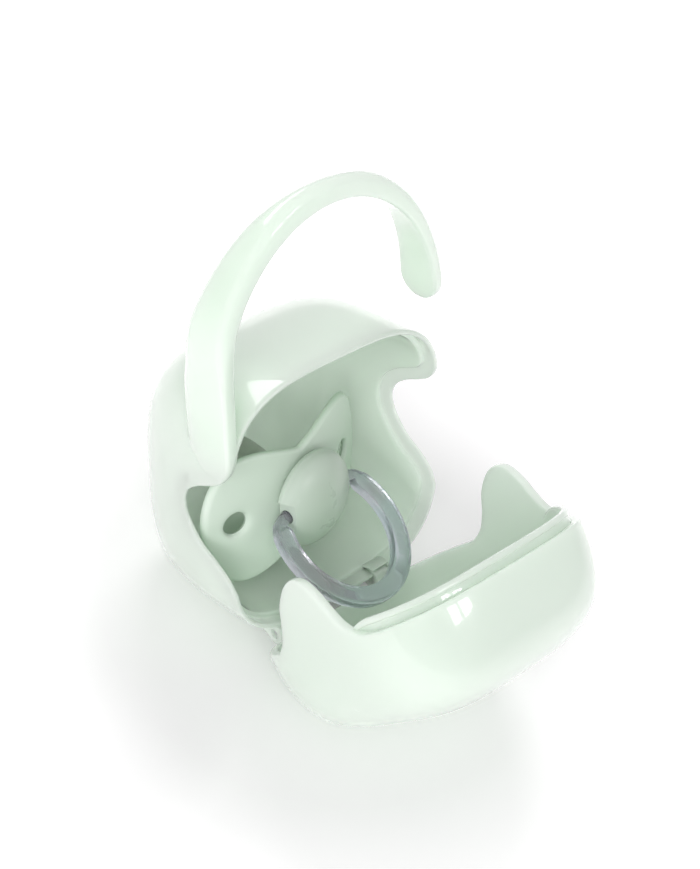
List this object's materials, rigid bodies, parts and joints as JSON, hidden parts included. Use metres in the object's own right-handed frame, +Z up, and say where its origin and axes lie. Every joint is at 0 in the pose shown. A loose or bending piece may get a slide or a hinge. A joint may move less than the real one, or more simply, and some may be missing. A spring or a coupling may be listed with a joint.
{
  "type": "pacifier box",
  "caption": "Hinged rounded-cube box for a pacifier, with a wavy parting line and a hook handle, standing open with its pacifier inside.",
  "frame": {"origin": "on the table, under the middle of the whole part's bounding box", "axes": "+X to the right seen from the front, -Y towards the opened front shell, +Z up; the hinge axis lies along X"},
  "size_m": [0.0658, 0.1, 0.1029],
  "materials": {
    "back_shell": "glossy pale mint, opaque",
    "front_shell": "glossy pale mint, opaque",
    "hinge_pins": "plain steel pins",
    "pacifier_shield": "satin grey-green plastic",
    "pacifier_knob": "satin grey-green plastic",
    "pacifier_ring": "clear grey plastic",
    "pacifier_teat": "milky silicone"
  },
  "bodies": {
    "back": {"back_shell": "back_shell", "hinge_pin_left": "hinge_pins", "hinge_pin_right": "hinge_pins"},
    "front": {"front_shell": "front_shell"},
    "pacifier": {"pacifier_shield": "pacifier_shield", "pacifier_knob": "pacifier_knob", "pacifier_teat": "pacifier_teat"},
    "ring": {"pacifier_ring": "pacifier_ring"}
  },
  "joints": [
    {"name": "shell_hinge", "type": "hinge", "parent": "back", "child": "front", "pos_m": [0.00149, -0.00107, 0.00588], "axis": [1, 0, 0], "range_deg": [-52.9, 0]},
    {"name": "pacifier_lift", "type": "slide", "parent": "back", "child": "pacifier", "axis": [0, 0.2416, 0.9704], "range_m": [0, 0.014]},
    {"name": "ring_pivot", "type": "hinge", "parent": "pacifier", "child": "ring", "pos_m": [-0.00011, 0.01236, 0.02792], "axis": [0.9903, 0.1308, -0.0476], "range_deg": [-42, 8]}
  ]
}
